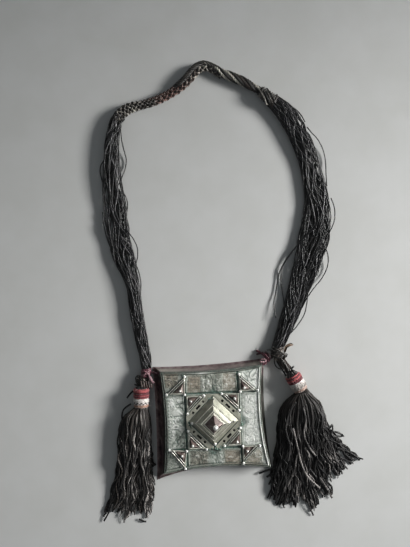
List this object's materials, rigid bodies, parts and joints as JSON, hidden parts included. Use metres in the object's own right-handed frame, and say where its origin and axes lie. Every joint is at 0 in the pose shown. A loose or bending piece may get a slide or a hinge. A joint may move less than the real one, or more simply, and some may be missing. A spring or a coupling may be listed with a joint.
{
  "type": "amulet pendant necklace",
  "caption": "Square metal amulet case with a stepped silver front, tied by a thong to a loop of thin leather cords with two leather tassels, lying flat.",
  "frame": {"origin": "middle of the case's flat back, on the surface that the necklace lies on", "axes": "+X to the right seen from the front, +Y from the case towards the nape, +Z out of the front"},
  "size_m": [0.196, 0.3485, 0.0276],
  "materials": {
    "copper": "dark patinated copper",
    "silver": "worn engraved silver",
    "burgundy_leather": "matt",
    "dark_leather": "waxed",
    "tan_leather": "matt",
    "braid_leather": "worn",
    "red_wrap": "matt",
    "white_wrap": "matt",
    "end_ring": "matt",
    "strip_leather": "worn"
  },
  "bodies": {
    "root": {"case": "copper", "front_plate": "silver", "pierced_frame": "silver", "stepped_pyramid": "silver", "cap_ball": "silver", "copper_cap": "copper", "frame_corner_tl": "silver", "frame_corner_tr": "silver", "frame_corner_bl": "silver", "frame_corner_br": "silver", "frame_inner_tl": "silver", "frame_inner_tr": "silver", "frame_inner_bl": "silver", "frame_inner_br": "silver", "boss_corner_tl": "copper", "boss_corner_tr": "copper", "boss_corner_bl": "copper", "boss_corner_br": "copper", "boss_inner_tl": "copper", "boss_inner_tr": "copper", "boss_inner_bl": "copper", "boss_inner_br": "copper", "thong": "burgundy_leather", "left_tie": "burgundy_leather", "left_thong_tail": "burgundy_leather", "left_knot": "dark_leather", "right_knot": "dark_leather", "right_lead": "dark_leather", "left_strands": "dark_leather", "neck_twist": "dark_leather", "neck_wrap": "dark_leather", "right_strands": "dark_leather", "right_leather_tail": "tan_leather", "neck_braid": "braid_leather", "left_head_core": "dark_leather", "left_red_wrap": "red_wrap", "left_white_wrap": "white_wrap", "left_end_ring": "end_ring", "left_skirt": "strip_leather", "right_head_core": "dark_leather", "right_red_wrap": "red_wrap", "right_white_wrap": "white_wrap", "right_end_ring": "end_ring", "right_skirt": "strip_leather"}
  },
  "joints": []
}
